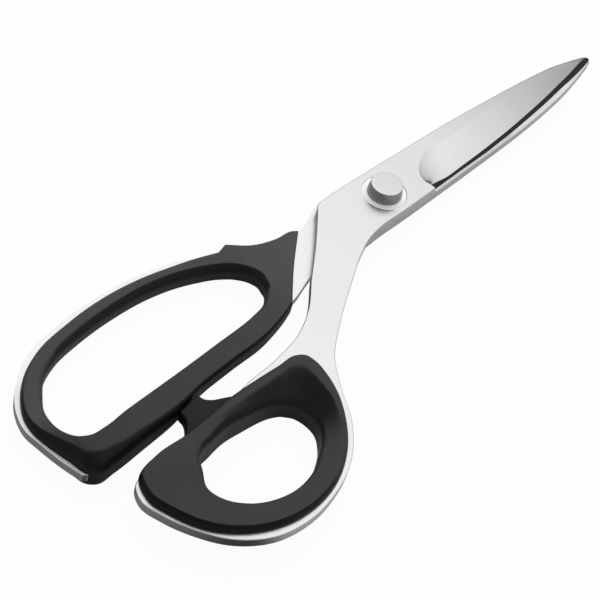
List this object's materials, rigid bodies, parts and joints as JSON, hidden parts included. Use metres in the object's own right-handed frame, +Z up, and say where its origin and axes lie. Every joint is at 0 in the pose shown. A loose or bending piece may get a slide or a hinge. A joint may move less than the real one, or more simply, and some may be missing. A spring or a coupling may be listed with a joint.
{
  "type": "tailor shears",
  "caption": "Right-handed tailor shears with two flat steel blades, cranked bows, moulded dark grips and an adjustable knob pivot.",
  "frame": {"origin": "on the pivot axis, at the underside of the pivot screw's head, level with the table that the closed shears lie on", "axes": "+X from the pivot to the blade tips, +Z up along the pivot axis through the adjusting knob, +Y to the left seen from above, towards the finger bow"},
  "size_m": [0.2512, 0.0958, 0.0128],
  "materials": {
    "blade_steel": "satin",
    "polished_steel": "polished",
    "spring_steel": "satin",
    "bush_bronze": "satin",
    "washer_polymer": "matte",
    "grip_elastomer": "matte"
  },
  "bodies": {
    "finger_half": {"finger_blade": "blade_steel", "finger_grip": "grip_elastomer", "pivot_screw": "polished_steel", "ride_washer": "washer_polymer", "click_ring": "polished_steel", "spring_washer": "spring_steel"},
    "thumb_half": {"thumb_blade": "blade_steel", "thumb_grip": "grip_elastomer", "pivot_bush": "bush_bronze"},
    "knob": {"adjusting_knob": "polished_steel"}
  },
  "joints": [
    {"name": "blade_pivot", "type": "hinge", "parent": "finger_half", "child": "thumb_half", "pos_m": [0, 0, 0.00575], "axis": [0, 0, 1], "range_deg": [0, 70]},
    {"name": "tension_turn", "type": "hinge", "parent": "finger_half", "child": "knob", "pos_m": [0, 0, 0.00905], "axis": [0, 0, 1], "range_deg": [-90, 90]}
  ]
}
